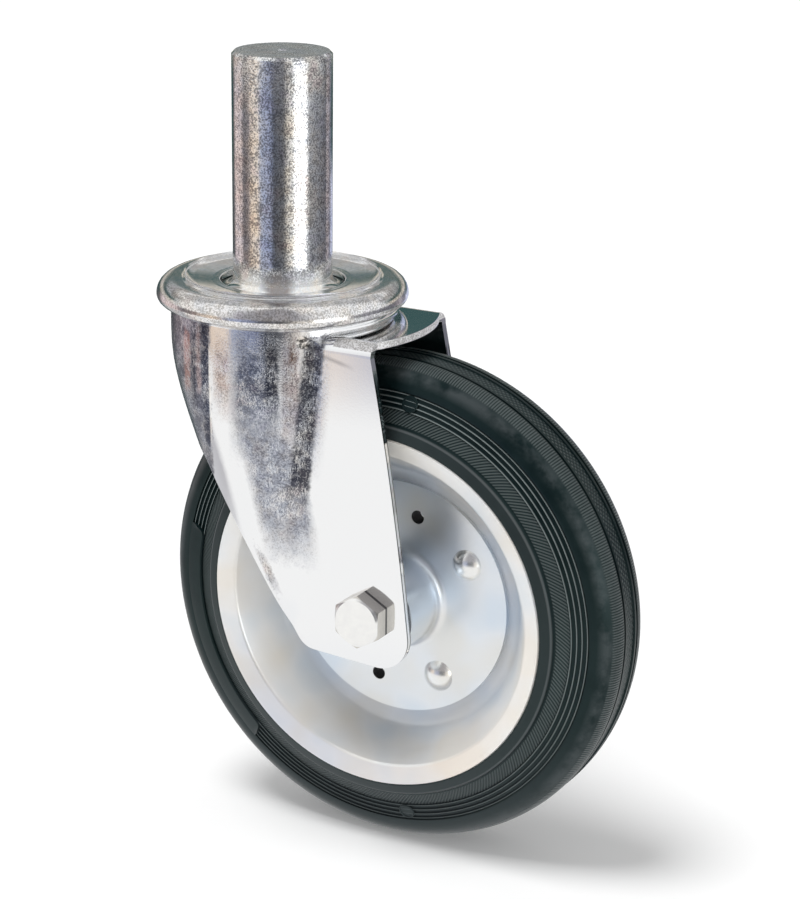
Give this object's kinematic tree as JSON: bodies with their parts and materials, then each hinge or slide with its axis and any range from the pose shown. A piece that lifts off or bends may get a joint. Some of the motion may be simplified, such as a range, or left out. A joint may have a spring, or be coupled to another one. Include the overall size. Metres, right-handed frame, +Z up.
{
  "type": "scaffold castor",
  "caption": "Swivel castor with a round stem that fits a scaffold leg tube, a double ball race head, a pressed steel fork and a rubber tyred wheel on a roller bearing.",
  "frame": {"origin": "on the stem's axis, level with the flat seat of the head flange", "axes": "+Z up along the stem, +X the way the wheel trails, -Y the side of the bolt's head"},
  "size_m": [0.2057, 0.1, 0.3133],
  "materials": {
    "stem_steel": "bright zinc plate with fine spangle",
    "pressed_steel": "bright zinc plate, glossy, fine spangle",
    "fastener_steel": "satin zinc plate",
    "hub_steel": "satin zinc plate",
    "rim_steel": "satin zinc plate",
    "bearing_steel": "ground, greased",
    "cage_plastic": "moulded",
    "tyre_rubber": "smooth moulded rubber, hatched bands"
  },
  "bodies": {
    "head": {"stem": "stem_steel", "head_flange": "pressed_steel", "lower_cup": "pressed_steel"},
    "upper_ball_ring": {"upper_balls": "bearing_steel"},
    "lower_ball_ring": {"lower_balls": "bearing_steel"},
    "fork": {"fork": "pressed_steel", "axle_bolt": "fastener_steel", "axle_nut": "fastener_steel", "nut_washer": "fastener_steel", "axle_sleeve": "bearing_steel"},
    "wheel": {"tyre": "tyre_rubber", "rim_near": "rim_steel", "rim_far": "rim_steel", "hub_plate_near": "hub_steel", "hub_plate_far": "hub_steel", "hub_tube": "bearing_steel", "rivets": "hub_steel", "end_washer_near": "bearing_steel", "end_washer_far": "bearing_steel"},
    "roller_ring": {"roller_cage": "cage_plastic", "rollers": "bearing_steel"}
  },
  "joints": [
    {"name": "swivel", "type": "hinge", "parent": "head", "child": "fork", "pos_m": [0, 0, 0], "axis": [0, 0, 1], "continuous": true},
    {"name": "wheel_spin", "type": "hinge", "parent": "fork", "child": "wheel", "pos_m": [0.0557, 0, -0.1233], "axis": [0, 1, 0], "continuous": true},
    {"name": "upper_ball_orbit", "type": "hinge", "parent": "head", "child": "upper_ball_ring", "pos_m": [0, 0, 0], "axis": [0, 0, 1], "continuous": true},
    {"name": "lower_ball_orbit", "type": "hinge", "parent": "head", "child": "lower_ball_ring", "pos_m": [0, 0, 0], "axis": [0, 0, 1], "continuous": true},
    {"name": "roller_orbit", "type": "hinge", "parent": "fork", "child": "roller_ring", "pos_m": [0.0557, 0, -0.1233], "axis": [0, 1, 0], "continuous": true}
  ],
  "couplings": [
    {"joint": "upper_ball_orbit", "follows": "swivel", "ratio": 0.5},
    {"joint": "lower_ball_orbit", "follows": "swivel", "ratio": 0.5},
    {"joint": "roller_orbit", "follows": "wheel_spin", "ratio": 0.6112}
  ]
}
